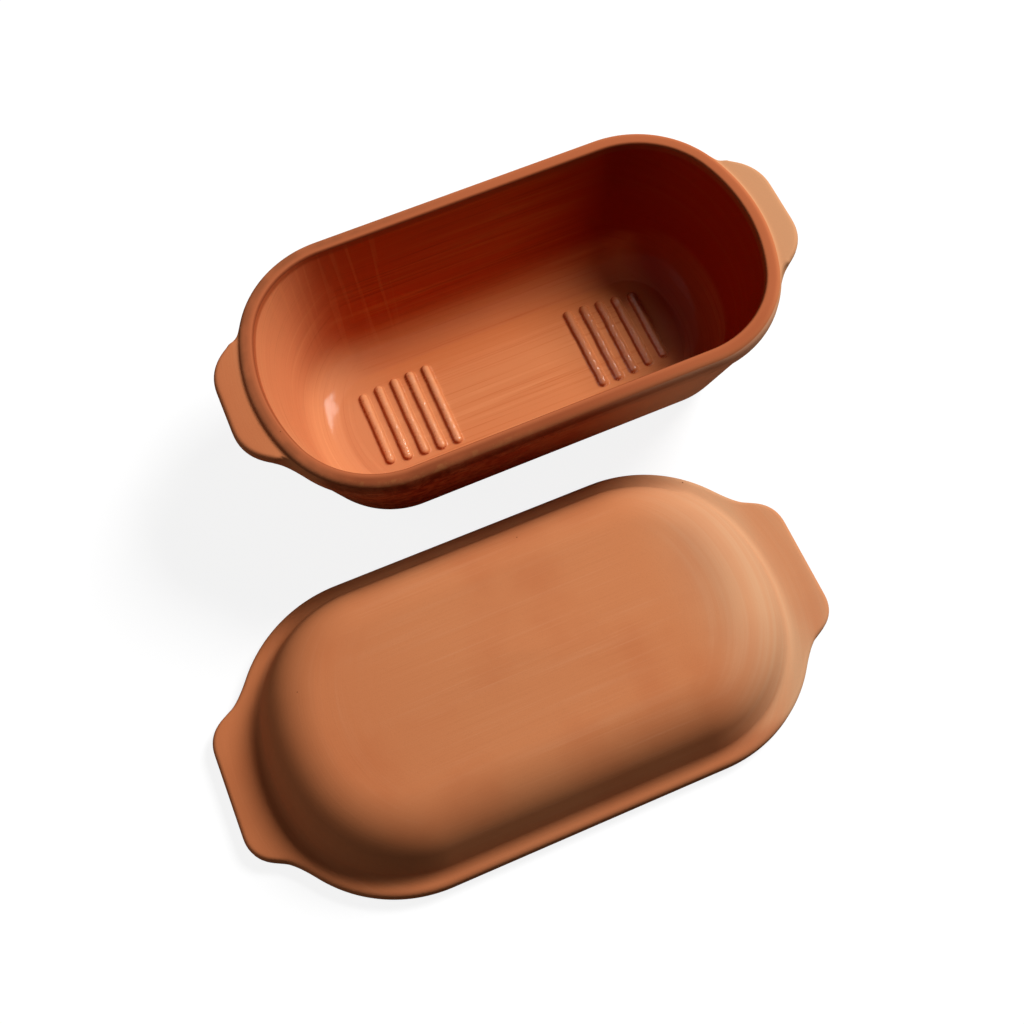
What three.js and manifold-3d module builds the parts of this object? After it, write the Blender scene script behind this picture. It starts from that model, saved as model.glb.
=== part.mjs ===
// Clay roaster: a deep pan of fired clay and its domed lid, which is taken off and lies beside the pan.
// Millimetres, +Z up. The origin is the centre of the pan's foot, and X runs from handle to handle.
import * as THREE from 'three';
import { mergeVertices } from 'three/addons/utils/BufferGeometryUtils.js';
import Module from 'manifold-3d';

// Pan: plan of the raised rim, at its foot
const RIM_LENGTH = 355;
const RIM_WIDTH = 187.5;
const RIM_CORNER_RADIUS = 72.5;
const RIM_END_RADIUS = 130;

// Pan: section
const PAN_HEIGHT = 109;
const RIM_ABOVE_HANDLES = 3;
const RIM_THICKNESS = 9.5;
const RIM_SIDE = 4;
const RIM_EDGE = 2;
const SHOULDER = 1.2;
const WALL_LEAN = 29;
const FOOT_ROUND = 34;
const FOOT_CORNER_EXTRA = 9;
const FLOOR_THICKNESS = 9;
const INNER_LEAN = 24;
const FLOOR_ROUND = 28;

// Pan: the two flat handles, which grow out of the shoulder below the rim
const PAN_SPAN = 390;
const PAN_HANDLE_THICKNESS = 9;
const PAN_TIP_HALF_WIDTH = 32;
const PAN_TIP_ROUND = 17;
const PAN_SIDE_ANGLE = THREE.MathUtils.degToRad(35.5);
const PAN_ROOT_HALF_WIDTH = 60.5;

// Pan: raised ribs across the floor, in one group towards each end
const RIBS_PER_GROUP = 5;
const FIRST_RIB_X = 55.3;
const RIB_PITCH = 12.1;
const RIB_LENGTH = 67;
const LAST_RIB_SHORTER = 8;
const RIB_WIDTH = 7;
const RIB_HEIGHT = 3;

// Lid: plan of the flange, which goes round the pan's rim with a clearance
const LID_CLEARANCE = 1.5;
const FLANGE_SIDE_WIDTH = 10;
const FLANGE_END_WIDTH = 8;
const FLANGE_CORNER_RADIUS = 93;
const FLANGE_END_RADIUS = 145;

// Lid: dome over the flange
const FLANGE_THICKNESS = 12;
const DOME_LENGTH = 346;
const DOME_WIDTH = 193;
const DOME_CORNER_RADIUS = 84;
const DOME_END_RADIUS = 130;
const DOME_FOOT_ROUND = 7;
const DOME_LEAN = 18;
const DOME_ROUND = 39;
const LID_HEIGHT = 54;
const CROWN_RISE = 2;
const LID_WALL = 9;

// Lid: its two handles, a little longer and broader than the pan's
const LID_SPAN = 402;
const LID_TIP_HALF_WIDTH = 42;
const LID_TIP_ROUND = 14;
const LID_SIDE_ANGLE = THREE.MathUtils.degToRad(28);
const LID_ROOT_HALF_WIDTH = 68;

// Lid: where it lies beside the pan, crown up
const LID_X = -79.3;
const LID_Y = -203.4;
const LID_TURN = THREE.MathUtils.degToRad(-0.25);

// Rounded edge of the handles and the flange, which thins out where the ledge is narrow
const HANDLE_EDGE = 3.5;
const EDGE_SHARE_OF_LEDGE = 0.4;

// Fineness of the facets
const CURVE_STEPS = 4;
const CORNER_STEPS = 6;
const SIDE_STEPS = 2;
const ROUND_STEPS = 5;
const FILLET_STEPS = 3;
const RIB_SIDES = 10;
const RIB_CAP_STEPS = 2;

const PAN_CLAY = new THREE.MeshStandardMaterial({ color: '#bd6f42', roughness: 0.55, metalness: 0 });
const LID_CLAY = new THREE.MeshStandardMaterial({ color: '#c47c52', roughness: 0.85, metalness: 0 });

const wasm = await Module();
wasm.setup();

// An oval of tangent arcs: straight long sides, corner arcs and bowed ends, with the centres of a quarter.
function makeOval(length, width, cornerRadius, endRadius) {
  const round = Math.min(cornerRadius, width / 2);
  const cornerY = width / 2 - round;
  const endX = length / 2 - endRadius;
  const cornerX = endX + Math.sqrt(Math.max((endRadius - round) ** 2 - cornerY ** 2, 0));
  return {
    end: { centre: new THREE.Vector2(endX, 0), radius: endRadius },
    corner: { centre: new THREE.Vector2(cornerX, cornerY), radius: round },
    joinAngle: Math.atan2(cornerY, cornerX - endX),
  };
}

const arcAt = (oval, angle) => (angle < oval.joinAngle ? oval.end : oval.corner);

// A station goes round an oval by the angle of its way out, then along the straight side by a share of it.
// It also holds its quarter's mirror signs, and how far the piece reaches past the oval there.
const makeStation = (angle, share, reach) => ({ angle, share, reach, flip: new THREE.Vector2(1, 1) });

const wayOut = ({ angle, flip }) => new THREE.Vector2(Math.cos(angle), Math.sin(angle)).multiply(flip);

// The point at a station, a given distance out from the oval.
function pointAt(oval, station, past) {
  const { centre, radius } = arcAt(oval, station.angle);
  const middle = new THREE.Vector2(centre.x * (1 - station.share), centre.y).multiply(station.flip);
  return wayOut(station).multiplyScalar(radius + past).add(middle);
}

// The station whose way out passes through a point beyond the oval.
function stationThrough(oval, point) {
  const fromEnd = point.clone().sub(oval.end.centre).angle();
  const { centre, radius } = arcAt(oval, fromEnd);
  const away = point.clone().sub(centre);
  return makeStation(away.angle(), 0, away.length() - radius);
}

// Angle of the outline's normal where the corner arc is a given distance from the long axis.
function angleAtHalfWidth(oval, halfWidth) {
  const { centre, radius } = oval.corner;
  return Math.asin(THREE.MathUtils.clamp((halfWidth - centre.y) / radius, -1, 1));
}

// Where the line from one point along a direction meets the line through another point across a normal.
function meet(point, direction, onLine, normal) {
  const run = onLine.clone().sub(point).dot(normal) / direction.dot(normal);
  return direction.clone().multiplyScalar(run).add(point);
}

// A quarter of a handle in plan: straight tip, rounded corner, slanting side and a hollow root on the oval.
function handleQuarter(oval, ledge, { span, tipHalfWidth, tipRound, sideAngle, rootHalfWidth }) {
  const tip = new THREE.Vector2(span / 2, tipHalfWidth);
  const side = new THREE.Vector2(-Math.cos(sideAngle), Math.sin(sideAngle));
  const root = makeStation(angleAtHalfWidth(oval, rootHalfWidth), 0, ledge);
  const rootPoint = pointAt(oval, root, ledge);
  const bend = meet(tip, side, rootPoint, wayOut(root));
  const sideStart = side.clone().multiplyScalar(tipRound).add(tip);
  const sideEnd = bend.clone().add(sideStart).multiplyScalar(1 / 2);
  const path = new THREE.Path();
  path.moveTo(tip.x, 0);
  path.lineTo(tip.x, tipHalfWidth - tipRound);
  path.quadraticCurveTo(tip.x, tip.y, sideStart.x, sideStart.y);
  path.lineTo(sideEnd.x, sideEnd.y);
  path.quadraticCurveTo(bend.x, bend.y, rootPoint.x, rootPoint.y);
  return path.getPoints(CURVE_STEPS).map((point) => stationThrough(oval, point));
}

const mirrored = (station, x, y) => ({ ...station, flip: new THREE.Vector2(x, y).multiply(station.flip) });

// All the stations of an outline with handles, anticlockwise from the tip of the handle on +X.
function makeStations(oval, ledge, handle) {
  const quarter = handleQuarter(oval, ledge, handle);
  const rootAngle = angleAtHalfWidth(oval, handle.rootHalfWidth);
  for (let k = 1; k <= CORNER_STEPS; k += 1) {
    quarter.push(makeStation(THREE.MathUtils.lerp(rootAngle, Math.PI / 2, k / CORNER_STEPS), 0, ledge));
  }
  for (let k = 1; k <= SIDE_STEPS; k += 1) {
    quarter.push(makeStation(Math.PI / 2, k / SIDE_STEPS, ledge));
  }
  const back = quarter.map((station) => mirrored(station, -1, 1)).reverse().slice(1);
  const half = [...quarter, ...back];
  const lower = half.map((station) => mirrored(station, 1, -1)).reverse().slice(1, -1);
  return [...half, ...lower];
}

const atHeight = (point, height) => new THREE.Vector3(point.x, point.y, height);

// A ring of points on an oval, at one height.
function ring(oval, stations, height) {
  return stations.map((station) => atHeight(pointAt(oval, station, 0), height));
}

// The rings of a rounded edge that follows the stations' reach, from its lower face up to its upper face.
function edgeRings(oval, stations, ledge, lower, upper) {
  const level = (inward, heightOf) => stations.map((station) => {
    const round = Math.min(HANDLE_EDGE, EDGE_SHARE_OF_LEDGE * (station.reach + ledge));
    return atHeight(pointAt(oval, station, station.reach - inward * round), heightOf(round));
  });
  return [
    level(1, () => lower),
    level(0, (round) => lower + round),
    level(0, (round) => upper - round),
    level(1, () => upper),
  ];
}

// Section of a leaning wall that rounds into a level face: [inset, height] pairs, the level face first.
function wallSection({ openInset, openHeight, levelHeight, lean, round }) {
  const rise = openHeight - levelHeight;
  const angle = Math.atan2(lean, Math.abs(rise));
  const tangentHeight = levelHeight + Math.sign(rise) * round * (1 - Math.sin(angle));
  const tangentInset = openInset + lean * (openHeight - tangentHeight) / rise;
  const centreInset = tangentInset + round * Math.cos(angle);
  const section = [];
  for (let k = 0; k <= ROUND_STEPS; k += 1) {
    const turn = (Math.PI / 2 - angle) * k / ROUND_STEPS;
    const height = levelHeight + Math.sign(rise) * round * (1 - Math.cos(turn));
    section.push([centreInset - round * Math.sin(turn), height]);
  }
  section.push([openInset, openHeight]);
  return section;
}

// The rings of a section, on the ovals that a function gives for each inset and height.
function ringsOf(ovalAt, stations, section) {
  return section.map(([inset, height]) => ring(ovalAt(inset, height), stations, height));
}

// A closed skin over rings of equal count, with a fan to the middle at each end.
function loft(rings, firstMiddle, lastMiddle) {
  const count = rings[0].length;
  const points = [...rings.flat(), firstMiddle, lastMiddle];
  const first = points.length - 2;
  const last = points.length - 1;
  const faces = [];
  for (let i = 0; i < count; i += 1) {
    const next = (i + 1) % count;
    faces.push(first, next, i);
    for (let r = 0; r < rings.length - 1; r += 1) {
      const low = r * count;
      const high = low + count;
      faces.push(low + i, low + next, high + next, low + i, high + next, high + i);
    }
    const top = (rings.length - 1) * count;
    faces.push(last, top + i, top + next);
  }
  const geometry = new THREE.BufferGeometry().setFromPoints(points);
  geometry.setIndex(faces);
  return geometry;
}

function toSolid(geometry) {
  const bare = geometry.clone();
  bare.deleteAttribute('normal');
  bare.deleteAttribute('uv');
  const merged = mergeVertices(bare);
  const vertProperties = new Float32Array(merged.attributes.position.array);
  const triVerts = new Uint32Array(merged.index.array);
  return new wasm.Manifold(new wasm.Mesh({ numProp: 3, vertProperties, triVerts }));
}

function toGeometry(solid) {
  const { vertProperties, triVerts } = solid.getMesh();
  const geometry = new THREE.BufferGeometry();
  geometry.setAttribute('position', new THREE.BufferAttribute(vertProperties, 3));
  geometry.setIndex(new THREE.BufferAttribute(triVerts, 1));
  geometry.computeVertexNormals();
  return geometry;
}

// The pan's oval, set in from the rim's foot. Its corners grow rounder towards the pan's foot.
function panOvalAt(inset, height) {
  const rounder = FOOT_CORNER_EXTRA * (1 - height / PAN_HEIGHT);
  return makeOval(
    RIM_LENGTH - 2 * inset,
    RIM_WIDTH - 2 * inset,
    RIM_CORNER_RADIUS - inset + rounder,
    RIM_END_RADIUS - inset,
  );
}

const rimOval = panOvalAt(0, PAN_HEIGHT);

// The lid's dome, set in from its foot on the flange.
function domeOvalAt(inset) {
  return makeOval(
    DOME_LENGTH - 2 * inset,
    DOME_WIDTH - 2 * inset,
    DOME_CORNER_RADIUS - inset,
    DOME_END_RADIUS - inset,
  );
}

// Outer side of the raised rim: a quarter of an ellipse from its foot up to its top, then the inner edge.
function rimSection(handleTop) {
  const section = [];
  for (let k = 0; k <= ROUND_STEPS; k += 1) {
    const turn = (Math.PI / 2) * k / ROUND_STEPS;
    section.push([RIM_SIDE * (1 - Math.cos(turn)), handleTop + RIM_ABOVE_HANDLES * Math.sin(turn)]);
  }
  section.push([RIM_THICKNESS - RIM_EDGE, PAN_HEIGHT]);
  return section;
}

// Foot, leaning wall, shoulder with its handles, raised rim, and the hollow inside down to the floor.
function panBody() {
  const handleTop = PAN_HEIGHT - RIM_ABOVE_HANDLES;
  const handleUnderside = handleTop - PAN_HANDLE_THICKNESS;
  const stations = makeStations(rimOval, SHOULDER, {
    span: PAN_SPAN,
    tipHalfWidth: PAN_TIP_HALF_WIDTH,
    tipRound: PAN_TIP_ROUND,
    sideAngle: PAN_SIDE_ANGLE,
    rootHalfWidth: PAN_ROOT_HALF_WIDTH,
  });
  const outside = wallSection({
    openInset: 0,
    openHeight: handleUnderside,
    levelHeight: 0,
    lean: WALL_LEAN,
    round: FOOT_ROUND,
  });
  const inside = wallSection({
    openInset: RIM_THICKNESS,
    openHeight: PAN_HEIGHT - RIM_EDGE,
    levelHeight: FLOOR_THICKNESS,
    lean: INNER_LEAN,
    round: FLOOR_ROUND,
  }).reverse();
  const rings = [
    ...ringsOf(panOvalAt, stations, outside),
    ...edgeRings(rimOval, stations, 0, handleUnderside, handleTop),
    ...ringsOf(panOvalAt, stations, rimSection(handleTop)),
    ...ringsOf(panOvalAt, stations, inside),
  ];
  return loft(rings, new THREE.Vector3(), new THREE.Vector3(0, 0, FLOOR_THICKNESS));
}

// A rib is a rod with round ends, sunk into the floor until its back stands proud by the rib's height.
function ribAt(x, length) {
  const radius = RIB_WIDTH / 2;
  const rod = new THREE.CapsuleGeometry(radius, length - RIB_WIDTH, RIB_CAP_STEPS, RIB_SIDES);
  return rod.translate(x, 0, FLOOR_THICKNESS + RIB_HEIGHT - radius);
}

function makePan() {
  let solid = toSolid(panBody());
  for (let k = 0; k < RIBS_PER_GROUP; k += 1) {
    const shorter = LAST_RIB_SHORTER * (k / (RIBS_PER_GROUP - 1)) ** 2;
    for (const side of [-1, 1]) {
      const rib = ribAt(side * (FIRST_RIB_X + k * RIB_PITCH), RIB_LENGTH - shorter);
      solid = solid.add(toSolid(rib));
    }
  }
  const pan = new THREE.Mesh(toGeometry(solid), PAN_CLAY);
  pan.name = 'pan';
  return pan;
}

// The hollow round between the flange and the dome's wall, which leans in by the given slope.
function filletSection(slope) {
  const wallTilt = Math.PI / 2 - Math.atan(slope);
  const start = -DOME_FOOT_ROUND * Math.tan(wallTilt / 2);
  const section = [];
  for (let k = 0; k <= FILLET_STEPS; k += 1) {
    const turn = wallTilt * k / FILLET_STEPS;
    const height = FLANGE_THICKNESS + DOME_FOOT_ROUND * (1 - Math.cos(turn));
    section.push([start + DOME_FOOT_ROUND * Math.sin(turn), height]);
  }
  return section;
}

// Mouth round the pan's rim, hollow dome inside, flange with its handles, and the dome outside
// up to the crown.
function lidBody() {
  const mouthOval = panOvalAt(-LID_CLEARANCE, PAN_HEIGHT);
  const flangeOval = makeOval(
    RIM_LENGTH + 2 * (LID_CLEARANCE + FLANGE_END_WIDTH),
    RIM_WIDTH + 2 * (LID_CLEARANCE + FLANGE_SIDE_WIDTH),
    FLANGE_CORNER_RADIUS,
    FLANGE_END_RADIUS,
  );
  const stations = makeStations(flangeOval, 0, {
    span: LID_SPAN,
    tipHalfWidth: LID_TIP_HALF_WIDTH,
    tipRound: LID_TIP_ROUND,
    sideAngle: LID_SIDE_ANGLE,
    rootHalfWidth: LID_ROOT_HALF_WIDTH,
  });
  const ceiling = LID_HEIGHT - LID_WALL;
  const domeSlope = DOME_LEAN / (LID_HEIGHT - FLANGE_THICKNESS);
  const inside = wallSection({
    openInset: LID_WALL,
    openHeight: FLANGE_THICKNESS,
    levelHeight: ceiling,
    lean: domeSlope * (ceiling - FLANGE_THICKNESS),
    round: DOME_ROUND - LID_WALL,
  });
  const dome = wallSection({
    openInset: 0,
    openHeight: FLANGE_THICKNESS,
    levelHeight: LID_HEIGHT,
    lean: DOME_LEAN,
    round: DOME_ROUND,
  }).slice(0, -1).reverse();
  const rings = [
    ...ringsOf(domeOvalAt, stations, inside),
    ring(mouthOval, stations, RIM_ABOVE_HANDLES),
    ring(mouthOval, stations, 0),
    ...edgeRings(flangeOval, stations, FLANGE_SIDE_WIDTH, 0, FLANGE_THICKNESS),
    ...ringsOf(domeOvalAt, stations, filletSection(domeSlope)),
    ...ringsOf(domeOvalAt, stations, dome),
  ];
  return loft(rings, new THREE.Vector3(0, 0, ceiling), new THREE.Vector3(0, 0, LID_HEIGHT + CROWN_RISE));
}

function makeLid() {
  const lid = new THREE.Mesh(toGeometry(toSolid(lidBody())), LID_CLAY);
  lid.name = 'lid';
  lid.position.set(LID_X, LID_Y, 0);
  lid.rotation.z = LID_TURN;
  return lid;
}

const roaster = new THREE.Group();
roaster.add(makePan(), makeLid());

export default roaster;
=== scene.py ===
"""Clay roaster: an oblong pan of fired clay, glazed inside, and its domed lid lying beside it."""

import math

import bmesh
import bpy
from mathutils import Matrix, Vector, noise


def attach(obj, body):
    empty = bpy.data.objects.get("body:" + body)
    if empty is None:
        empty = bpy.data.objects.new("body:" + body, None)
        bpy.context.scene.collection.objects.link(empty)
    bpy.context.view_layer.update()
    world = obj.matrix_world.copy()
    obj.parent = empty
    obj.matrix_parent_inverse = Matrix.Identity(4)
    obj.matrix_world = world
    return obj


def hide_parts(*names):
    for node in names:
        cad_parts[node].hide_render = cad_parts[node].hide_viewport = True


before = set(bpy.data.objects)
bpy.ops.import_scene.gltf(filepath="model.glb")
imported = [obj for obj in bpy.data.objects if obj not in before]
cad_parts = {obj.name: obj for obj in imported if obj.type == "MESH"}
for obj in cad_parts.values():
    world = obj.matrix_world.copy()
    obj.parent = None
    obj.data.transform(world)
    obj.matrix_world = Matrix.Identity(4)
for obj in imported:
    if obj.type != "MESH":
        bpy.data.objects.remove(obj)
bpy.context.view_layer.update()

MM = 0.001

# Pan: lengths in millimetres
PAN_HEIGHT = 109
RIM_PLAN = dict(length=355, width=187.5, corner=72.5, end=130)
FOOT_CORNER_EXTRA = 9
RIM_RISE = 3
RIM_THICKNESS = 9.5
RIM_SIDE = 4
RIM_EDGE = 2
RIM_FOOT_RISE = 1.5
RIM_FOOT_REACH = 2.5
RIM_FOOT_SHARE = 0.2
SHOULDER = 1.2
SHOULDER_DROP = 5
HANDLE_TOP = PAN_HEIGHT - RIM_RISE
HANDLE_THICKNESS = 9
HANDLE_UNDERSIDE = HANDLE_TOP - HANDLE_THICKNESS
HANDLE_ROOT_REACH = 6
PAN_HANDLE = dict(span=390, tip_half=32, tip_round=17, side_angle=35.5, root_half=60.5)
PAN_OUTSIDE = dict(open_inset=0, open_height=HANDLE_UNDERSIDE, level=0, lean=29, bend=34)
PAN_INSIDE = dict(open_inset=RIM_THICKNESS, open_height=PAN_HEIGHT - RIM_EDGE, level=9, lean=24, bend=28)
FLOOR = PAN_INSIDE["level"]
FLOOR_CREASE = math.radians(17)
FLOOR_FILLET = 6
GLAZE_DROP = 4
GLAZE_TOP = PAN_HEIGHT - GLAZE_DROP

# Ribs on the pan's floor: where they lie and how uneven they are, with lengths in millimetres
RIB_COUNT = 5
RIB_FIRST_X = 55.3
RIB_PITCH = 12.1
RIB_HALF = 33.5
RIB_HALF_LOSS = 4
RIB_XS = [RIB_FIRST_X + RIB_PITCH * k for k in range(RIB_COUNT)]
RIB_HALVES = [RIB_HALF - RIB_HALF_LOSS * (k / (RIB_COUNT - 1)) ** 2 for k in range(RIB_COUNT)]
RIB_RADIUS = 3.5
RIB_HEIGHT = 3
RIB_FILLET = 1
RIB_FILLET_REACH = 4 * RIB_FILLET
RIB_FILLET_END = 0.06
RIB_WANDER = 0.25
RIB_WANDER_LENGTH = 14
RIB_SWELL = 0.05
RIB_SWELL_LENGTH = 5
RIB_SWELL_WIDTH = 30
RIB_GRAIN = 0.05
RIB_GRAIN_SIZE = 1.3
RIB_GROUP_SEED = 9
RIB_GRAIN_SEED = 4
RIB_MARGIN_X = 6
RIB_MARGIN_Y = 2
RIBS_REACH_X = 112
RIBS_REACH_Y = 37
RIB_GLAZE_FROM = 0.3

# Lid: lengths in millimetres
LID_PLACE = Vector((-79.3, -203.4, 0))
LID_TURN = math.radians(-0.25)
MOUTH_GAP = 1.5
FLANGE_PLAN = dict(length=374, width=210.5, corner=93, end=145)
FLANGE = 12
FLANGE_SIDE = 10
DOME_PLAN = dict(length=346, width=193, corner=84, end=130)
DOME_FOOT_ROUND = 7
LID_HEIGHT = 54
CROWN_RISE = 2
CROWN_SQUARENESS = 3
LID_WALL = 9
LID_LEAN = 18
DOME_BEND = 39
LID_HANDLE = dict(span=402, tip_half=42, tip_round=14, side_angle=28, root_half=68)

# The rounded edge of a handle or flange: its radius, and the most that it takes of a narrow ledge
HANDLE_EDGE = 3.5
EDGE_SHARE = 0.4

# Fineness of the meshes: steps along each stretch of a quarter outline, and across each round
TIP_STEPS = 6
TIP_ROUND_STEPS = 10
HANDLE_SIDE_STEPS = 6
HANDLE_ROOT_STEPS = 14
CORNER_STEPS = 26
SIDE_STEPS = 28
WALL_STEPS = 14
DOME_STEPS = 20
EDGE_STEPS = 6
RIM_STEPS = 8
RIM_EDGE_STEPS = 5
RIM_FOOT_STEPS = 5
FLOOR_FILLET_STEPS = 4
DOME_FOOT_STEPS = 8
UNDERSIDE_STEPS = 4
TOP_STEPS = 5
GRID_SPAN = 72
RIB_CUTS = 2

# The widest gap between rings and what counts as the same height, in millimetres
RING_GAP = 5
NEAR_ENOUGH = 0.01

# How far up a face's normal has to point for the face to count as floor
FACES_UP = 0.5

# Wiping strokes: where they turn from straight to round, from the middle of each piece, in millimetres
PAN_TURN_X = 35
LID_TURN_X = 30
TURN_FROM = 40
TURN_TO = 95
ROUND_STROKE_RADIUS = 90

# Camera: degrees, millimetres, and pixels of the photograph
CAMERA_AZIMUTH = -20.58
CAMERA_ELEVATION = 66.18
CAMERA_ROLL = -2.87
CAMERA_TARGET = Vector((-41.25, -91.97, 0))
CAMERA_DISTANCE = 942
FOCAL_PIXELS = 1379.6
IMAGE_PIXELS = 1024
SENSOR_WIDTH = 36

# Studio: the middle of what the lamps light in millimetres, the rest in metres and levels of light
LIT_PLACE = Vector((-40, -90, 40))
LAMP_DISTANCE = 4
AMBIENT_LEVEL = 0.048
PAPER_SIZE = 8
PAPER_LIT = 0.17
PAPER_GLOW = 0.87
PAPER_BOUNCE = 0.2
GLOW_FROM = 0.5
GLOW_TO = 1.4


# Camera

def place_camera():
    """Looks down at the bench as the photograph does, a little turned."""
    azimuth, elevation, roll = map(math.radians, (CAMERA_AZIMUTH, CAMERA_ELEVATION, CAMERA_ROLL))
    back = Vector((math.sin(azimuth) * math.cos(elevation),
                   -math.cos(azimuth) * math.cos(elevation), math.sin(elevation)))
    right = Vector((0, 0, 1)).cross(back).normalized()
    up = back.cross(right)
    turned_right = right * math.cos(roll) + up * math.sin(roll)
    turned_up = up * math.cos(roll) - right * math.sin(roll)
    bpy.ops.object.camera_add(location=(CAMERA_TARGET + back * CAMERA_DISTANCE) * MM)
    camera = bpy.context.object
    camera.name = "camera"
    camera.rotation_euler = Matrix((turned_right, turned_up, back)).transposed().to_euler()
    camera.data.sensor_width = SENSOR_WIDTH
    camera.data.lens = SENSOR_WIDTH * FOCAL_PIXELS / IMAGE_PIXELS
    bpy.context.scene.camera = camera


# Plans and sections

def oval(length, width, corner, end):
    """Straight long sides, corner arcs and bowed ends: centres and radii of one quarter."""
    corner = min(corner, width / 2)
    corner_y = width / 2 - corner
    end_x = length / 2 - end
    corner_x = end_x + math.sqrt(max((end - corner) ** 2 - corner_y ** 2, 0))
    join = math.atan2(corner_y, corner_x - end_x)
    return dict(end_x=end_x, end=end, corner_x=corner_x, corner_y=corner_y, corner=corner, join=join)


def set_in(plan, inset, rounder=0):
    return oval(plan["length"] - 2 * inset, plan["width"] - 2 * inset,
                plan["corner"] - inset + rounder, plan["end"] - inset)


def pan_oval(inset, height):
    return set_in(RIM_PLAN, inset, FOOT_CORNER_EXTRA * (1 - height / PAN_HEIGHT))


def dome_oval(inset, _):
    """The dome's plan, which has the same corners at every height."""
    return set_in(DOME_PLAN, inset)


def arc_at(plan, angle):
    if angle < plan["join"]:
        return Vector((plan["end_x"], 0)), plan["end"]
    return Vector((plan["corner_x"], plan["corner_y"])), plan["corner"]


def plan_point(plan, station, past):
    """A point on a plan at a station, some way out from it."""
    angle, share, _, flip_x, flip_y = station
    centre, radius = arc_at(plan, angle)
    x = centre.x * (1 - share) + math.cos(angle) * (radius + past)
    y = centre.y + math.sin(angle) * (radius + past)
    return x * flip_x, y * flip_y


def station_through(plan, point):
    centre, radius = arc_at(plan, math.atan2(point.y, point.x - plan["end_x"]))
    away = point - centre
    return math.atan2(away.y, away.x), 0, away.length - radius


def angles(first, last, steps):
    return [first + (last - first) * k / steps for k in range(steps + 1)]


def curve(a, b, c, steps):
    """A corner at b, rounded from a to c."""
    ts = [k / steps for k in range(1, steps + 1)]
    return [a * (1 - t) ** 2 + b * (2 * t * (1 - t)) + c * (t * t) for t in ts]


def straight(a, b, steps):
    return [a.lerp(b, k / steps) for k in range(1, steps + 1)]


def all_stations(plan, ledge, handle):
    """Stations round a plan with handles, from the tip on +X: angle, share of the side, reach, mirrors."""
    tip = Vector((handle["span"] / 2, handle["tip_half"]))
    angle = math.radians(handle["side_angle"])
    side = Vector((-math.cos(angle), math.sin(angle)))
    root_angle = math.asin((handle["root_half"] - plan["corner_y"]) / plan["corner"])
    root = Vector(plan_point(plan, (root_angle, 0, 0, 1, 1), ledge))
    outward = Vector((math.cos(root_angle), math.sin(root_angle)))
    bend = tip + side * ((root - tip).dot(outward) / side.dot(outward))
    corner_start = tip - Vector((0, handle["tip_round"]))
    corner_end = tip + side * handle["tip_round"]
    side_end = (bend + corner_end) / 2
    path = [Vector((tip.x, 0))]
    path += straight(path[0], corner_start, TIP_STEPS)
    path += curve(corner_start, tip, corner_end, TIP_ROUND_STEPS)
    path += straight(corner_end, side_end, HANDLE_SIDE_STEPS)
    path += curve(side_end, bend, root, HANDLE_ROOT_STEPS)
    quarter = [station_through(plan, point) for point in path]
    quarter += [(turn, 0, ledge) for turn in angles(root_angle, math.pi / 2, CORNER_STEPS)[1:]]
    quarter += [(math.pi / 2, k / SIDE_STEPS, ledge) for k in range(1, SIDE_STEPS + 1)]
    first = [(*s, 1, 1) for s in quarter]
    half = first + [(*s, -1, 1) for s in quarter[-2::-1]]
    return half + [(*s[:3], s[3], -1) for s in half[-2:0:-1]]


def level_ring(plan, stations, past, height):
    return [(*plan_point(plan, s, past), height) for s in stations]


def wall_section(open_inset, open_height, level, lean, bend, steps=WALL_STEPS, crease=0):
    """A leaning wall that bends into a level face: inset and height, the level face first."""
    rise = open_height - level
    up = math.copysign(1, rise)
    angle = math.atan2(lean, abs(rise))
    tangent = level + up * bend * (1 - math.sin(angle))
    middle = open_inset + lean * (open_height - tangent) / rise + bend * math.cos(angle)
    turns = angles(crease, math.pi / 2 - angle, steps)
    section = [(middle - bend * math.sin(t), level + up * bend * (1 - math.cos(t))) for t in turns]
    return section + [(open_inset, open_height)]


def inside_section():
    """The pan's inner wall: a tight round at the floor's edge, then a wide bend and the leaning wall."""
    wall = wall_section(**PAN_INSIDE, crease=FLOOR_CREASE)
    meets_floor = wall[0][0] + (wall[0][1] - FLOOR) / math.tan(FLOOR_CREASE)
    middle = meets_floor + FLOOR_FILLET * math.tan(FLOOR_CREASE / 2)
    turns = angles(0, FLOOR_CREASE, FLOOR_FILLET_STEPS)
    fillet = [(middle - FLOOR_FILLET * math.sin(t), FLOOR + FLOOR_FILLET * (1 - math.cos(t)))
              for t in turns]
    return fillet + wall


def close_set(section):
    """The same section with points close together."""
    out = [section[0]]
    for a, b in zip(map(Vector, section), map(Vector, section[1:])):
        out += [tuple(p) for p in straight(a, b, math.ceil((b - a).length / RING_GAP))]
    return out


def section_rings(plan_at, stations, section):
    return [level_ring(plan_at(inset, height), stations, 0, height)
            for inset, height in close_set(section)]


def edge_rings(plan, stations, ledge, lower, upper):
    """A rounded edge that follows the handles, from its lower face up to its upper face."""
    def at(turn, start, sign):
        ring = []
        for s in stations:
            bend = min(HANDLE_EDGE, EDGE_SHARE * (s[2] + ledge))
            past = s[2] - bend * (1 - math.sin(turn))
            ring.append((*plan_point(plan, s, past), start + sign * bend * (1 - math.cos(turn))))
        return ring
    turns = angles(0, math.pi / 2, EDGE_STEPS)
    return [at(t, lower, 1) for t in turns] + [at(t, upper, -1) for t in reversed(turns)]


def between(first, last, steps):
    """Rings that lead straight from one ring to another, without these two."""
    pairs = [(Vector(a), Vector(b)) for a, b in zip(first, last)]
    return [[tuple(a.lerp(b, k / steps)) for a, b in pairs] for k in range(1, steps)]


# Modelling

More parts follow.
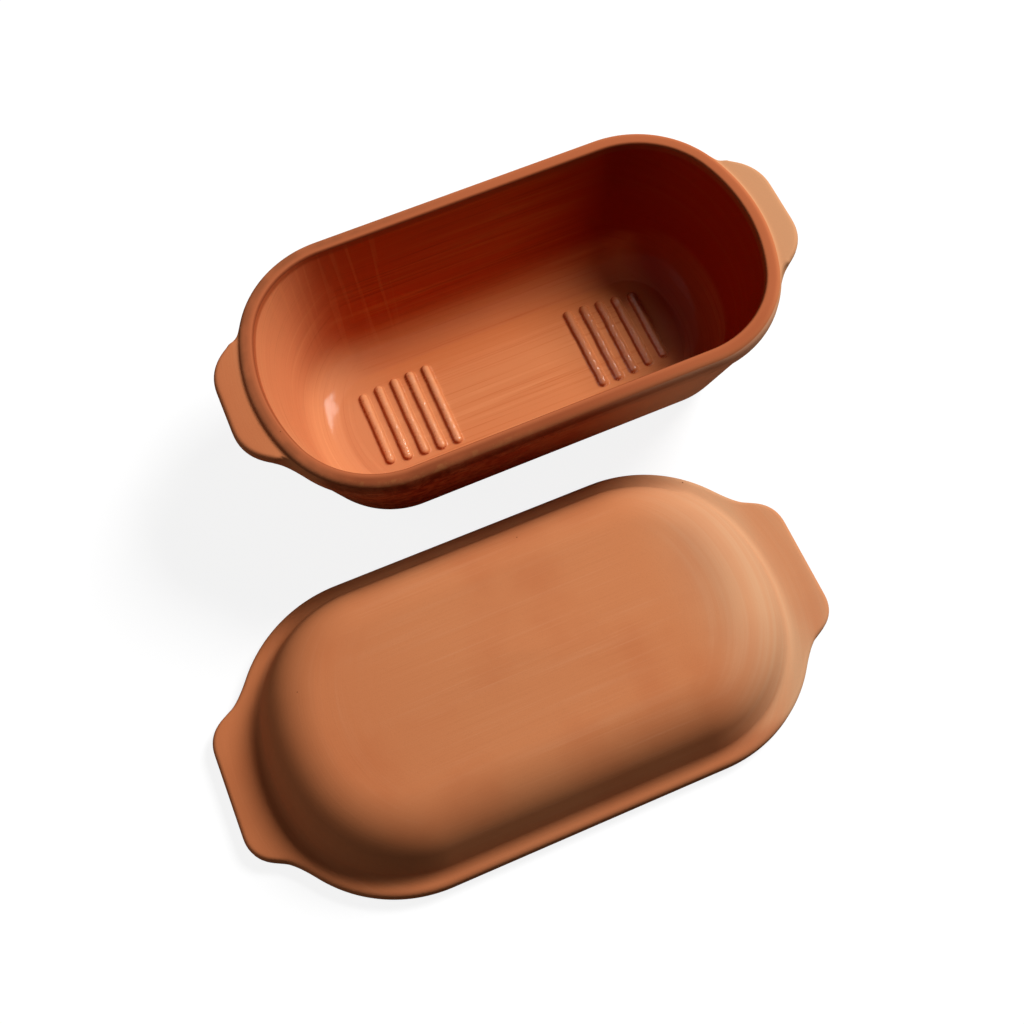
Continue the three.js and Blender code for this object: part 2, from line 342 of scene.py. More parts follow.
def start_piece(name, ring):
    """A circle whose points are set on the first ring, each with the number of its station."""
    bpy.ops.object.select_all(action="DESELECT")
    bpy.ops.mesh.primitive_circle_add(vertices=len(ring), radius=RIM_PLAN["length"] / 2 * MM)
    piece = bpy.context.object
    piece.name = piece.data.name = name
    bpy.ops.object.mode_set(mode="EDIT")
    bpy.ops.mesh.select_all(action="SELECT")
    edit = bmesh.from_edit_mesh(piece.data)
    number = edit.verts.layers.int.new("station")
    for point in edit.verts:
        point[number] = point.index
    set_selected(piece, ring)
    return piece


def set_selected(piece, ring):
    edit = bmesh.from_edit_mesh(piece.data)
    number = edit.verts.layers.int["station"]
    for point in edit.verts:
        if point.select:
            point.co = Vector(ring[point[number]]) * MM
    bmesh.update_edit_mesh(piece.data)


def extrude_rings(piece, rings):
    for ring in rings:
        bpy.ops.mesh.extrude_edges_move()
        set_selected(piece, ring)


def close_ends(piece):
    """A grid of faces over each open end."""
    edit = bmesh.from_edit_mesh(piece.data)
    heights = {round(e.verts[0].co.z / MM, 3) for e in edit.edges if e.is_boundary}
    for height in sorted(heights):
        bpy.ops.mesh.select_all(action="DESELECT")
        edit = bmesh.from_edit_mesh(piece.data)
        number = edit.verts.layers.int["station"]
        for edge in edit.edges:
            if edge.is_boundary and abs(edge.verts[0].co.z / MM - height) < NEAR_ENOUGH:
                edge.select_set(True)
        corner = len({v for e in edit.edges if e.select for v in e.verts}) - GRID_SPAN // 2
        edit.select_history.clear()
        for point in edit.verts:
            if point.select and point[number] == corner:
                edit.select_history.add(point)
        bmesh.update_edit_mesh(piece.data)
        bpy.ops.mesh.fill_grid(span=GRID_SPAN, use_interp_simple=True)


def finish_mesh(piece):
    bpy.ops.mesh.select_all(action="SELECT")
    bpy.ops.mesh.remove_doubles(threshold=NEAR_ENOUGH * MM)
    bpy.ops.mesh.normals_make_consistent(inside=False)
    bpy.ops.object.mode_set(mode="OBJECT")
    bpy.ops.object.shade_smooth()


def rim_foot_rings(stations):
    """The small hollow round where the raised rim stands on the handles."""
    plan = pan_oval(0, PAN_HEIGHT)
    turn = math.asin(RIM_FOOT_RISE / RIM_RISE)
    start = Vector((-RIM_FOOT_REACH, 0))
    end = Vector((RIM_SIDE * (1 - math.cos(turn)), RIM_FOOT_RISE))
    rings = []
    for point in [start] + curve(start, Vector((0, 0)), end, RIM_FOOT_STEPS):
        ring = []
        for s in stations:
            size = min(1, RIM_FOOT_SHARE * s[2])
            past = -point.x * size if point.x < 0 else -point.x
            ring.append((*plan_point(plan, s, past), HANDLE_TOP + point.y))
        rings.append(ring)
    return rings


def soften_shoulder(rings, stations):
    """Away from the handles, takes the wall up into the rim in one soft bend."""
    plan = pan_oval(0, PAN_HEIGHT)
    turn = math.asin(RIM_FOOT_RISE / RIM_RISE)
    top = Vector((-RIM_SIDE * (1 - math.cos(turn)), HANDLE_TOP + RIM_FOOT_RISE))
    steepness = RIM_RISE * math.cos(turn) / (RIM_SIDE * math.sin(turn))
    corner = Vector((SHOULDER, top.y - steepness * (SHOULDER - top.x)))
    low = Vector((SHOULDER, HANDLE_TOP - SHOULDER_DROP))
    bend = [low] + curve(low, corner, top, len(rings) - 1)
    for ring, point in zip(rings, bend):
        for k, s in enumerate(stations):
            soft = Vector((*plan_point(plan, s, point.x), point.y))
            handle_share = min((s[2] - SHOULDER) / HANDLE_ROOT_REACH, 1)
            ring[k] = tuple(soft.lerp(Vector(ring[k]), handle_share))


def rim_section():
    """From the hollow round up the rim's outer side, over its top, and round its inner edge."""
    turns = angles(math.asin(RIM_FOOT_RISE / RIM_RISE), math.pi / 2, RIM_STEPS)[1:]
    outer = [(RIM_SIDE * (1 - math.cos(t)), HANDLE_TOP + RIM_RISE * math.sin(t)) for t in turns]
    turns = angles(0, math.pi / 2, RIM_EDGE_STEPS)[:-1]
    start = RIM_THICKNESS - RIM_EDGE
    inner = [(start + RIM_EDGE * math.sin(t), PAN_HEIGHT - RIM_EDGE * (1 - math.cos(t))) for t in turns]
    return outer + inner


def rib_height(x, y):
    """How far the floor rises at a point: ten soft ridges, each a little uneven along its length."""
    rise = 0
    group = math.copysign(RIB_GROUP_SEED, x)
    for rib_x, half in zip(RIB_XS, RIB_HALVES):
        along = max(abs(y) - (half - RIB_RADIUS), 0)
        wander = RIB_WANDER * noise.noise(Vector((rib_x, group, y / RIB_WANDER_LENGTH)))
        across = abs(abs(x) - rib_x - wander)
        swell = noise.noise(Vector((x / RIB_SWELL_WIDTH, rib_x, y / RIB_SWELL_LENGTH)))
        width = RIB_RADIUS * (1 + RIB_SWELL * swell)
        away = math.hypot(across, along)
        if away < width + RIB_FILLET_REACH:
            top = RIB_HEIGHT - RIB_RADIUS + math.sqrt(max(width ** 2 - away ** 2, 0))
            top -= max(away - width, 0)
            rise = max(rise, (top + math.sqrt(top ** 2 + RIB_FILLET ** 2)) / 2 - RIB_FILLET_END)
    grain = noise.noise(Vector((x / RIB_GRAIN_SIZE, y / RIB_GRAIN_SIZE, RIB_GRAIN_SEED)))
    return rise * (1 + RIB_GRAIN * grain)


def raise_ribs(piece):
    """Divides the floor under the two groups of ribs finely, then lifts the ribs out of it."""
    first, last = RIB_XS[0] - RIB_MARGIN_X, RIB_XS[-1] + RIB_MARGIN_X
    bpy.ops.mesh.select_all(action="DESELECT")
    edit = bmesh.from_edit_mesh(piece.data)
    for face in edit.faces:
        x, y, z = face.calc_center_median() / MM
        under_ribs = first < abs(x) < last and abs(y) < RIB_HALVES[0] + RIB_MARGIN_Y
        if abs(z - FLOOR) < NEAR_ENOUGH and under_ribs:
            face.select_set(True)
    bmesh.update_edit_mesh(piece.data)
    bpy.ops.mesh.subdivide(number_cuts=RIB_CUTS)
    edit = bmesh.from_edit_mesh(piece.data)
    for point in edit.verts:
        x, y, z = point.co / MM
        if abs(z - FLOOR) < NEAR_ENOUGH:
            point.co.z += rib_height(x, y) * MM
    bmesh.update_edit_mesh(piece.data)


def model_pan():
    plan = pan_oval(0, PAN_HEIGHT)
    stations = all_stations(plan, SHOULDER, PAN_HANDLE)
    edge = edge_rings(plan, stations, 0, HANDLE_UNDERSIDE, HANDLE_TOP)
    foot = rim_foot_rings(stations)
    half = len(edge) // 2
    upper = edge[half:] + between(edge[-1], foot[0], TOP_STEPS) + foot
    soften_shoulder(upper, stations)
    rings = section_rings(pan_oval, stations, wall_section(**PAN_OUTSIDE))
    rings += between(rings[-1], edge[0], UNDERSIDE_STEPS) + edge[:half] + upper
    rings += section_rings(pan_oval, stations, rim_section())
    rings += section_rings(pan_oval, stations, inside_section()[::-1])
    pan = start_piece("roaster_pan", rings[0])
    extrude_rings(pan, rings[1:])
    close_ends(pan)
    raise_ribs(pan)
    finish_mesh(pan)
    return pan


def crown_height(x, y, half_x, half_y):
    """How far the crown rises at a point: a shallow swell that dies out at its edge."""
    near = (abs(x) / half_x) ** CROWN_SQUARENESS + (abs(y) / half_y) ** CROWN_SQUARENESS
    return CROWN_RISE * max(1 - near ** (1 / CROWN_SQUARENESS), 0) ** 2


def raise_crown(piece, half_x, half_y):
    edit = bmesh.from_edit_mesh(piece.data)
    for point in edit.verts:
        x, y, z = point.co / MM
        if abs(z - LID_HEIGHT) < NEAR_ENOUGH:
            point.co.z += crown_height(x, y, half_x, half_y) * MM
    bmesh.update_edit_mesh(piece.data)


def dome_foot_section(slope):
    """The hollow round between the flange and the dome."""
    tilt = math.pi / 2 - math.atan(slope)
    start = -DOME_FOOT_ROUND * math.tan(tilt / 2)
    turns = angles(0, tilt, DOME_FOOT_STEPS)
    return [(start + DOME_FOOT_ROUND * math.sin(t), FLANGE + DOME_FOOT_ROUND * (1 - math.cos(t)))
            for t in turns]


def model_lid():
    plan = oval(**FLANGE_PLAN)
    mouth = pan_oval(-MOUTH_GAP, PAN_HEIGHT)
    stations = all_stations(plan, 0, LID_HANDLE)
    slope = LID_LEAN / (LID_HEIGHT - FLANGE)
    ceiling = LID_HEIGHT - LID_WALL
    inside = wall_section(LID_WALL, FLANGE, ceiling, slope * (ceiling - FLANGE), DOME_BEND - LID_WALL)
    dome = wall_section(0, FLANGE, LID_HEIGHT, LID_LEAN, DOME_BEND, DOME_STEPS)
    edge = edge_rings(plan, stations, FLANGE_SIDE, 0, FLANGE)
    foot = section_rings(dome_oval, stations, dome_foot_section(slope))
    lip = [level_ring(mouth, stations, 0, RIM_RISE), level_ring(mouth, stations, 0, 0)]
    rings = section_rings(dome_oval, stations, inside)
    rings += between(rings[-1], lip[0], UNDERSIDE_STEPS) + lip
    rings += between(lip[-1], edge[0], UNDERSIDE_STEPS) + edge
    rings += between(edge[-1], foot[0], TOP_STEPS) + foot
    rings += section_rings(dome_oval, stations, dome[:-1][::-1])
    lid = start_piece("roaster_lid", rings[0])
    extrude_rings(lid, rings[1:])
    close_ends(lid)
    raise_crown(lid, rings[-1][0][0], max(p[1] for p in rings[-1]))
    finish_mesh(lid)
    return lid


def write_strokes(piece, turn_x, sign):
    """Keeps for each point where it lies on the round wiping strokes at the piece's ends."""
    kept = piece.data.attributes.new("round_stroke", "FLOAT_VECTOR", "POINT")
    for point, stroke in zip(piece.data.vertices, kept.data):
        x, y, z = point.co
        away = Vector((abs(x) - turn_x * MM, y))
        reach = away.length or 1
        stroke.vector = (math.copysign(away.x / reach, x) if x else 0, away.y / reach, reach + sign * z)


def write_insets(piece, plan):
    """Keeps for each point how far in from a plan it lies."""
    kept = piece.data.attributes.new("inset", "FLOAT", "POINT")
    for point, inset in zip(piece.data.vertices, kept.data):
        place = Vector((abs(point.co.x), abs(point.co.y))) / MM
        if place.x < plan["corner_x"]:
            inset.value = plan["corner_y"] + plan["corner"] - place.y
        else:
            inset.value = -station_through(plan, place)[2]


def place_lid(lid):
    lid.data.transform(Matrix.Translation(LID_PLACE * MM) @ Matrix.Rotation(LID_TURN, 4, "Z"))


# Finishes

def linear(colour):
    """The linear colour of an sRGB hex value."""
    channels = [int(colour[i:i + 2], 16) / 255 for i in (1, 3, 5)]
    return (*((c / 12.92 if c <= 0.04045 else ((c + 0.055) / 1.055) ** 2.4) for c in channels), 1)


def add(tree, kind, inputs=None, **settings):
    """A node with its settings, and a value or a link for each input that is named."""
    node = tree.nodes.new("ShaderNode" + kind)
    for key, value in settings.items():
        setattr(node, key, value)
    for key, value in (inputs or {}).items():
        if isinstance(value, bpy.types.NodeSocket):
            tree.links.new(value, node.inputs[key])
        else:
            node.inputs[key].default_value = value
    return node


def mask(tree, *parts):
    """How strongly a stain shows: the product of its parts.

    A part is a mask, or a value with two of its levels and the strengths that it gives at these.
    """
    strength = None
    for part in parts:
        if isinstance(part, tuple):
            names = ("Value", "From Min", "From Max", "To Min", "To Max")
            ramp = add(tree, "MapRange", dict(zip(names, part)), interpolation_type="SMOOTHSTEP")
            part = ramp.outputs[0]
        if strength is not None:
            part = add(tree, "Math", {0: strength, 1: part}, operation="MULTIPLY").outputs[0]
        strength = part
    return strength


def stain(tree, colour, other, *parts):
    """A colour turned towards another by a mask."""
    ends = [linear(c) if isinstance(c, str) else c for c in (colour, other)]
    return add(tree, "Mix", {0: mask(tree, *parts), 6: ends[0], 7: ends[1]}, data_type="RGBA").outputs[2]


def start_finish(name):
    material = bpy.data.materials.new(name)
    material.use_nodes = True
    material.node_tree.nodes.clear()
    return material, material.node_tree


def piece_place(tree, centre, turn):
    """Object coordinates, with the middle of the piece as their origin."""
    own = add(tree, "TexCoord").outputs["Object"]
    inputs = {"Vector": own, "Location": centre * MM, "Rotation": (0, 0, turn)}
    return add(tree, "Mapping", inputs, vector_type="TEXTURE").outputs[0]


def in_millimetres(tree, place):
    """The three coordinates of a place, in millimetres."""
    scaled = add(tree, "VectorMath", {0: place, "Scale": 1 / MM}, operation="SCALE").outputs[0]
    return add(tree, "SeparateXYZ", {0: scaled}).outputs


def strokes(tree, place, turn_x, width, length, shift):
    """Strokes of a width and length in millimetres: straight along the sides, round at the ends."""
    across = 1 / (width * MM)
    scale = (1 / (length * MM), across, across)
    straight_way = add(tree, "Mapping", {"Vector": place, "Scale": scale, "Location": (shift, 0, 0)})
    end = add(tree, "Attribute", attribute_name="round_stroke").outputs["Vector"]
    around = ROUND_STROKE_RADIUS / length
    scale = (around, around, across)
    round_way = add(tree, "Mapping", {"Vector": end, "Scale": scale, "Location": (shift, 0, 0)})
    grain = {"Scale": 1, "Detail": 3, "Roughness": 0.6}
    straight_part, round_part = (add(tree, "TexNoise", {"Vector": way.outputs[0], **grain}).outputs[0]
                                 for way in (straight_way, round_way))
    x = in_millimetres(tree, place)[0]
    out_x = add(tree, "Math", {0: x}, operation="ABSOLUTE").outputs[0]
    at_end = mask(tree, (out_x, turn_x + TURN_FROM, turn_x + TURN_TO, 0, 1))
    return add(tree, "Mix", {0: at_end, 2: straight_part, 3: round_part}).outputs[0]


def specks(tree, place, spacing, size, share):
    """Single dots in some of the cells of a spacing: 1 inside a dot, 0 elsewhere."""
    cells = add(tree, "TexVoronoi", {"Vector": place, "Scale": 1 / (spacing * MM)})
    chance = add(tree, "SeparateColor", {0: cells.outputs["Color"]}).outputs[0]
    chosen = add(tree, "Math", {0: chance, 1: share}, operation="LESS_THAN").outputs[0]
    return mask(tree, (cells.outputs["Distance"], 0.5 * size / spacing, size / spacing, 1, 0), chosen)


def bare_clay(name, centre, turn, turn_x, wear_and_painted_light):
    """Pressed terracotta, wiped with a wet sponge and fired: matt, streaked, cloudy and a little pitted."""
    material, tree = start_finish(name)
    place = piece_place(tree, centre, turn)
    fine = strokes(tree, place, turn_x, width=1.2, length=90, shift=0)
    broad = strokes(tree, place, turn_x, width=9, length=200, shift=5)
    cloud = add(tree, "TexNoise", {"Vector": place, "Scale": 1 / (70 * MM), "Detail": 4}).outputs[0]
    grain = add(tree, "TexNoise", {"Vector": place, "Scale": 1 / (0.8 * MM), "Detail": 2}).outputs[0]
    colour = stain(tree, "#c67c50", "#b9683f", (cloud, 0.42, 0.72, 0, 0.5))
    colour = stain(tree, colour, "#d19670", (broad, 0.5, 0.75, 0, 0.14))
    colour = stain(tree, colour, "#d8a480", (fine, 0.52, 0.8, 0, 0.12))
    colour = stain(tree, colour, "#a9643f", (fine, 0.48, 0.22, 0, 0.13))
    colour = stain(tree, colour, "#b2704a", (grain, 0.5, 0.3, 0, 0.2))
    # Wear, with painted light and shade on some faces.
    colour = wear_and_painted_light(tree, place, colour, broad)
    colour = stain(tree, colour, "#5f301a", specks(tree, place, spacing=24, size=0.6, share=0.3))
    relief = add(tree, "Math", {0: grain, 1: 0.7, 2: fine}, operation="MULTIPLY_ADD").outputs[0]
    bump = add(tree, "Bump", {"Height": relief, "Distance": 0.05 * MM, "Strength": 1}).outputs[0]
    shader = add(tree, "BsdfPrincipled", {
        "Base Color": colour, "Roughness": 0.8, "Specular IOR Level": 0, "Normal": bump,
    })
    add(tree, "OutputMaterial", {0: shader.outputs[0]})
    return material


def lid_wear_and_painted_shade(tree, place, colour, broad):
    """Paler strokes round the right end of the lid, a redder left end, and painted shade on the near ledge.
    """
    x, y, _ = in_millimetres(tree, place)
    # Paler strokes round the right end of the lid, on its slope and shoulder.
    pale_streaks = mask(tree, (x, 85, 165, 0, 0.75), (x, 185, 168, 0.5, 1), (broad, 0.38, 0.7, 0.75, 1))
    colour = stain(tree, colour, "#c59d79", pale_streaks)
    # Painted shade: a darker band along the near ledge, where the dome shades it.
    colour = stain(tree, colour, "#a25c3a", (y, -88, -98, 0, 0.5))
    return stain(tree, colour, "#bd6a40", (x, -30, -190, 0, 0.6))


def pan_wear_and_painted_light(tree, place, colour, _):
    """A red-brown rim with handling marks and ochre chips, smoky walls, and handles of two tones, with
    painted shade on the rim's left outer side and along the near side under the rim.
    """
    x, y, z = in_millimetres(tree, place)
    inset = add(tree, "Attribute", attribute_name="inset").outputs["Fac"]
    blot = add(tree, "TexNoise", {"Vector": place, "Scale": 1 / (16 * MM), "Detail": 5}).outputs[0]
    small = {"Scale": 1 / (7 * MM), "Detail": 6, "Roughness": 0.7}
    chip = add(tree, "TexNoise", {"Vector": place, **small}).outputs[0]
    rim = mask(tree, (z, HANDLE_TOP + 0.2, HANDLE_TOP + 1, 0, 1))
    below = mask(tree, (z, HANDLE_TOP + 1.6, HANDLE_TOP + 0.6, 0, 1))
    upper = mask(tree, (z, HANDLE_TOP - 5, HANDLE_TOP - 3.5, 0, 1))
    left = mask(tree, (x, 40, -110, 0, 1))
    near = mask(tree, (y, -60, -84, 0, 1))
    colour = stain(tree, colour, "#ad5d3a", rim, (inset, 0, 4, 0.5, 0.9))
    # Handling marks and painted shade: the rim's outer side darkened on the left, the side turned from the
    # light.
    colour = stain(tree, colour, "#80492e", rim, left, (inset, 8, 4.5, 0, 1), (blot, 0.3, 0.6, 0.2, 0.55))
    colour = wall_wear_and_painted_light(tree, colour, (x, y, z), below, left, blot, chip)
    # Painted shade: dark red under the rim along the near wall, stronger towards the left.
    colour = stain(tree, colour, "#6e2c14", upper, near, (x, 110, -20, 0.15, 0.45), (inset, 8, 5, 0, 1))
    colour = stain(tree, colour, "#c4966f", below, (x, 120, 180, 0, 0.6))
    colour = stain(tree, colour, "#b9623c", below, (x, -150, -190, 0, 0.5))
    chips = mask(tree, rim, (inset, 4.2, 3, 0, 1), near, left, (chip, 0.5, 0.6, 0, 0.18))
    colour = stain(tree, colour, "#b47c48", chips)
    return stain(tree, colour, "#7d3a20", rim, (inset, 8, 9.4, 0, 0.8))


def wall_wear_and_painted_light(tree, colour, place, below, left, blot, chip):
    """The pan's outer walls: smoky red and mottled towards the left and the near side, partly painted
    shade, and paler towards the right, partly dust and partly painted light.
    """
    x, y, z = place
    out_y = add(tree, "Math", {0: y}, operation="ABSOLUTE").outputs[0]
    beside = mask(tree, below, (out_y, 66, 76, 0, 1))
    under = mask(tree, (z, HANDLE_UNDERSIDE, HANDLE_UNDERSIDE - 2, 0, 1))
    wall = add(tree, "Math", {0: under, 1: beside}, operation="MAXIMUM").outputs[0]
    wall = mask(tree, wall, (x, -150, -95, 0.5, 1), (y, 20, -60, 0.2, 1))
    # Smoke, mottling and painted shade: darker on the near side and towards the left.
    smoke_and_shade = mask(tree, wall, (x, -30, 80, 1, 0.2), (blot, 0.35, 0.65, 0.6, 0.95))
    colour = stain(tree, colour, "#a8482c", smoke_and_shade)
    colour = stain(tree, colour, "#762a16", wall, left, (chip, 0.42, 0.6, 0.2, 0.85))
    # Dust and painted light: a pale pink towards the right of the walls.
    return stain(tree, colour, "#d49b78", wall, (x, 0, 90, 0, 0.85))


def clear_glaze(name, coat, right_coat, coat_roughness):
    """Clear glaze, brushed on over the clay and fired: deep orange, wet gloss, strokes and a few runs, with
    painted shade and a painted sheen.
    """
    material, tree = start_finish(name)
    place = add(tree, "TexCoord").outputs["Object"]
    x, y, z = in_millimetres(tree, place)
    fine = strokes(tree, place, PAN_TURN_X, width=1.4, length=130, shift=2)
    broad = strokes(tree, place, PAN_TURN_X, width=7, length=170, shift=7)
    crumb = add(tree, "TexNoise", {"Vector": place, "Scale": 1 / (1.4 * MM), "Detail": 3}).outputs[0]
    out_x, out_y = (add(tree, "Math", {0: way}, operation="ABSOLUTE").outputs[0] for way in (x, y))
    on_floor = mask(tree, (out_x, RIBS_REACH_X - 3, RIBS_REACH_X, 1, 0),
                    (out_y, RIBS_REACH_Y - 2, RIBS_REACH_Y, 1, 0))
    raised = mask(tree, on_floor, (z, FLOOR + 0.1, FLOOR + 0.8, 0, 0.7))
    colour = floor_colour(tree, x, y, fine, broad)
    colour = painted_wall_shade(tree, colour, (x, y, z), fine, broad)
    colour = glaze_runs(tree, colour, place, x, y)
    colour = rib_colour(tree, colour, x, z, on_floor, raised, crumb)
    colour = stain(tree, colour, "#8f3c1c", (z, GLAZE_TOP - 2.5, GLAZE_TOP, 0, 0.7))
    relief = add(tree, "Math", {0: broad, 1: 3, 2: fine}, operation="MULTIPLY_ADD").outputs[0]
    crumbs = mask(tree, raised, crumb)
    relief = add(tree, "Math", {0: crumbs, 1: 5, 2: relief}, operation="MULTIPLY_ADD").outputs[0]
    bump = add(tree, "Bump", {"Height": relief, "Distance": 0.03 * MM, "Strength": 1}).outputs[0]
    shader = add(tree, "BsdfPrincipled", {
        "Base Color": colour, "Roughness": 0.5, "Specular IOR Level": 0, "Normal": bump,
        "Coat Weight": mask(tree, (x, -10, 90, coat, right_coat)),
        "Coat Roughness": coat_roughness, "Coat IOR": 1.42, "Coat Normal": bump,
    })
    add(tree, "OutputMaterial", {0: shader.outputs[0]})
    return material


def floor_colour(tree, x, y, fine, broad):
    """The glazed floor: orange strokes, a painted sheen that pales the left end, and painted shadow that
    deepens it towards the far wall.
    """
    colour = stain(tree, "#c6784a", "#d98f5e", (broad, 0.5, 0.75, 0, 0.4))
    colour = stain(tree, colour, "#aa4c1c", (fine, 0.5, 0.25, 0, 0.4))
    # Painted sheen: paler towards the left end.
    colour = stain(tree, colour, "#c88c66", (x, -40, -120, 0, 0.26))
    # Painted shadow: deeper towards the far wall, with a streaky edge.
    streaky_y = add(tree, "Math", {0: broad, 1: 40, 2: y}, operation="MULTIPLY_ADD").outputs[0]
    return stain(tree, colour, "#b2501f", (streaky_y, 22, 75, 0, 0.5), (x, -125, -70, 0, 1))


def painted_wall_shade(tree, colour, place, fine, broad):
    """Painted shade on the glazed walls: deep red with a streaky lower edge, weaker at the left end and on
    the near wall, darkest at the right end, where it reaches the floor.
    """
    x, y, z = place
    # Painted shade: the deep red of the far and right walls, darkest towards the right end.
    wall = stain(tree, "#b03a0c", "#bd5a25", (broad, 0.45, 0.75, 0, 0.6))
    wall = stain(tree, wall, "#852a06", (fine, 0.52, 0.25, 0, 0.6))
    wall = stain(tree, wall, "#8a1403", (x, 20, 120, 0, 0.85))
    streaky_z = add(tree, "Math", {0: broad, 1: 24, 2: z}, operation="MULTIPLY_ADD").outputs[0]
    near_side = mask(tree, (y, 0, -45, 0, 1), (x, 110, 60, 0, 1))
    painted_shade = mask(tree, (streaky_z, FLOOR + 15, FLOOR + 46, 0, 1), (x, -150, -70, 0.2, 1),
                (near_side, 0, 1, 1, 0.35))
    shaded_right_end = mask(tree, (x, 102, 128, 0, 0.85))
    painted_shade = add(tree, "Math", {0: painted_shade, 1: shaded_right_end}, operation="MAXIMUM").outputs[0]
    return stain(tree, colour, wall, painted_shade)


def glaze_runs(tree, colour, place, x, y):
    """A few pale runs down the far wall near its left end."""
    scale = (1 / (4.5 * MM), 1, 1 / (90 * MM))
    run_place = add(tree, "Mapping", {"Vector": place, "Scale": scale}).outputs[0]
    run = add(tree, "TexNoise", {"Vector": run_place, "Scale": 1, "Detail": 1}).outputs[0]
    runs = mask(tree, (y, 50, 70, 0, 1), (x, -50, -75, 0, 1), (run, 0.55, 0.65, 0, 0.2))
    return stain(tree, colour, "#cf7a48", runs)


def rib_colour(tree, colour, x, z, on_floor, raised, crumb):
    """The ribs: dark, crumbly glaze pooled at their feet, kept to their left sides as painted shade; tops
    worn pale, with painted shade darkening the right group's tops.
    """
    lean = add(tree, "SeparateXYZ", {0: add(tree, "NewGeometry").outputs["Normal"]}).outputs[0]
    # Glaze pooling and painted shade: only on the sides that face away from the light.
    pooling_and_shade = mask(tree, raised, (lean, 0.05, -0.35, 0.2, 1))
    colour = stain(tree, colour, "#8e3410", pooling_and_shade)
    # Painted shade: the tops of the right group darker, where the right wall shades them.
    rib_top_and_shade = stain(tree, "#d38a5c", "#a85a34", (x, 0, 70, 0, 0.75))
    colour = stain(tree, colour, rib_top_and_shade, on_floor, (z, FLOOR + 1.4, FLOOR + 2.6, 0, 0.9))
    return stain(tree, colour, "#8e3a18", pooling_and_shade, (crumb, 0.5, 0.65, 0, 0.4))


def glaze_inside(piece, clay, glaze, thick_glaze):
    """Bare clay all over, and glaze inside from the rim's inner edge down, thicker on the ribs."""
    for finish in (clay, glaze, thick_glaze):
        piece.data.materials.append(finish)
    for face in piece.data.polygons:
        x, y, z = face.center / MM
        inward = face.normal.x * x / RIM_PLAN["length"] + face.normal.y * y / RIM_PLAN["width"] < 0
        inside = inward or face.normal.z > FACES_UP and z < HANDLE_UNDERSIDE
        if inside and FLOOR - NEAR_ENOUGH < z < GLAZE_TOP:
            by_ribs = abs(x) < RIBS_REACH_X and abs(y) < RIBS_REACH_Y
            face.material_index = 2 if by_ribs and z > FLOOR + RIB_GLAZE_FROM else 1


# Studio

def seen(tree):
    """1 for what the camera, a reflection or a clear piece sees, 0 for the light that falls on things."""
    path = add(tree, "LightPath").outputs
    sight = path["Is Camera Ray"]
    for ray in ("Is Glossy Ray", "Is Transmission Ray"):
        sight = add(tree, "Math", {0: sight, 1: path[ray]}, operation="MAXIMUM").outputs[0]
    return sight


def lay_floor():
    """White seamless paper: white to the eye with a soft shadow, and little light thrown back up."""
    bpy.ops.mesh.primitive_plane_add(size=PAPER_SIZE)
    floor = bpy.context.object
    floor.name = "floor"
    material, tree = start_finish("white_paper")
    place = add(tree, "TexCoord").outputs["Object"]
    out = add(tree, "VectorMath", {0: place}, operation="LENGTH").outputs["Value"]
    lit = add(tree, "BsdfDiffuse", {"Color": (PAPER_LIT, PAPER_LIT, PAPER_LIT, 1)})
    glow = add(tree, "Emission", {"Strength": mask(tree, (out, GLOW_FROM, GLOW_TO, PAPER_GLOW, 1))})
    white = add(tree, "AddShader", {0: lit.outputs[0], 1: glow.outputs[0]})
    plain = add(tree, "BsdfDiffuse", {"Color": (PAPER_BOUNCE, PAPER_BOUNCE, PAPER_BOUNCE, 1)})
    both = add(tree, "MixShader", {0: seen(tree), 1: plain.outputs[0], 2: white.outputs[0]})
    add(tree, "OutputMaterial", {0: both.outputs[0]})
    floor.data.materials.append(material)


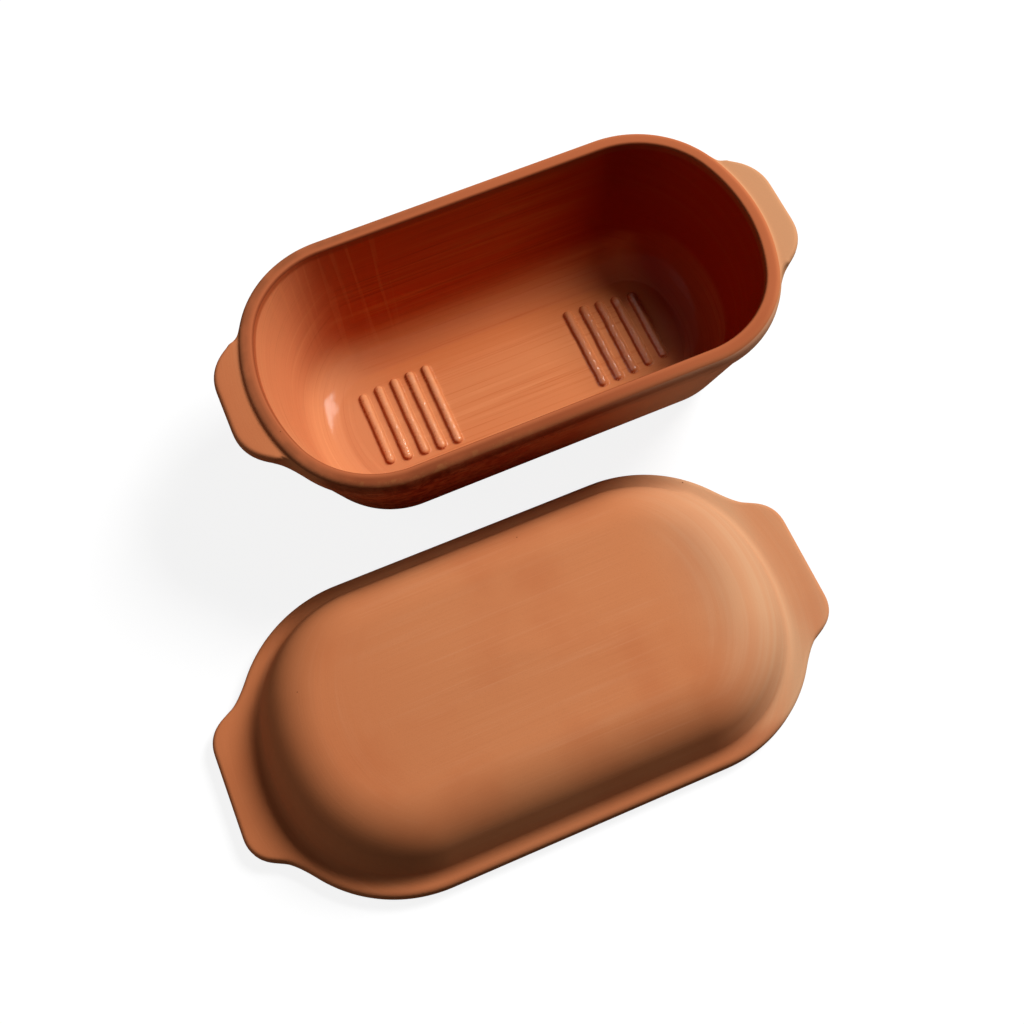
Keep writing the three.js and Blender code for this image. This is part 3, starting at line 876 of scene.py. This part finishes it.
def light_studio():
    """A soft box from the right, a faint one from behind on the left, and a little light all round."""
    world = bpy.context.scene.world or bpy.data.worlds.new("studio")
    bpy.context.scene.world = world
    world.use_nodes = True
    tree = world.node_tree
    tree.nodes.clear()
    around = add(tree, "Background", {"Color": (1, 1, 1, 1), "Strength": AMBIENT_LEVEL})
    white = add(tree, "Background", {"Color": (1, 1, 1, 1), "Strength": 1})
    both = add(tree, "MixShader", {0: seen(tree), 1: around.outputs[0], 2: white.outputs[0]})
    add(tree, "OutputWorld", {0: both.outputs[0]})
    soft_box("key_box", azimuth=18, elevation=45, size=1.5, level=1.42)
    soft_box("fill_box", azimuth=160, elevation=22, size=2.6, level=0.13)


def soft_box(name, azimuth, elevation, size, level):
    """A square soft box, round from +X towards +Y, that gives a level of light on a face turned to it."""
    azimuth, elevation = math.radians(azimuth), math.radians(elevation)
    way = Vector((math.cos(azimuth) * math.cos(elevation), math.sin(azimuth) * math.cos(elevation),
                  math.sin(elevation)))
    bpy.ops.object.light_add(type="AREA", location=LIT_PLACE * MM + way * LAMP_DISTANCE)
    box = bpy.context.object
    box.name = name
    box.rotation_euler = way.to_track_quat("Z", "Y").to_euler()
    box.data.shape = "SQUARE"
    box.data.size = size
    box.data.energy = level * (math.pi * LAMP_DISTANCE) ** 2


# The roaster

place_camera()
pan = model_pan()
write_strokes(pan, PAN_TURN_X, 1)
write_insets(pan, pan_oval(0, PAN_HEIGHT))
lid = model_lid()
write_strokes(lid, LID_TURN_X, -1)
place_lid(lid)

lid.data.materials.append(bare_clay("wiped_terracotta_lid", LID_PLACE, LID_TURN, LID_TURN_X, lid_wear_and_painted_shade))
pan_clay = bare_clay("wiped_terracotta_pan", Vector(), 0, PAN_TURN_X, pan_wear_and_painted_light)
glaze = clear_glaze("clear_glaze", coat=0.2, right_coat=0.06, coat_roughness=0.12)
thick_glaze = clear_glaze("thick_clear_glaze", coat=0.8, right_coat=0.65, coat_roughness=0.06)
glaze_inside(pan, pan_clay, glaze, thick_glaze)
lay_floor()
light_studio()
bpy.context.scene.view_settings.view_transform = "Standard"

for piece, node, slot in ((pan, "pan", "pan_clay"), (lid, "lid", "lid_clay")):
    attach(piece, node)
    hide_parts(node)
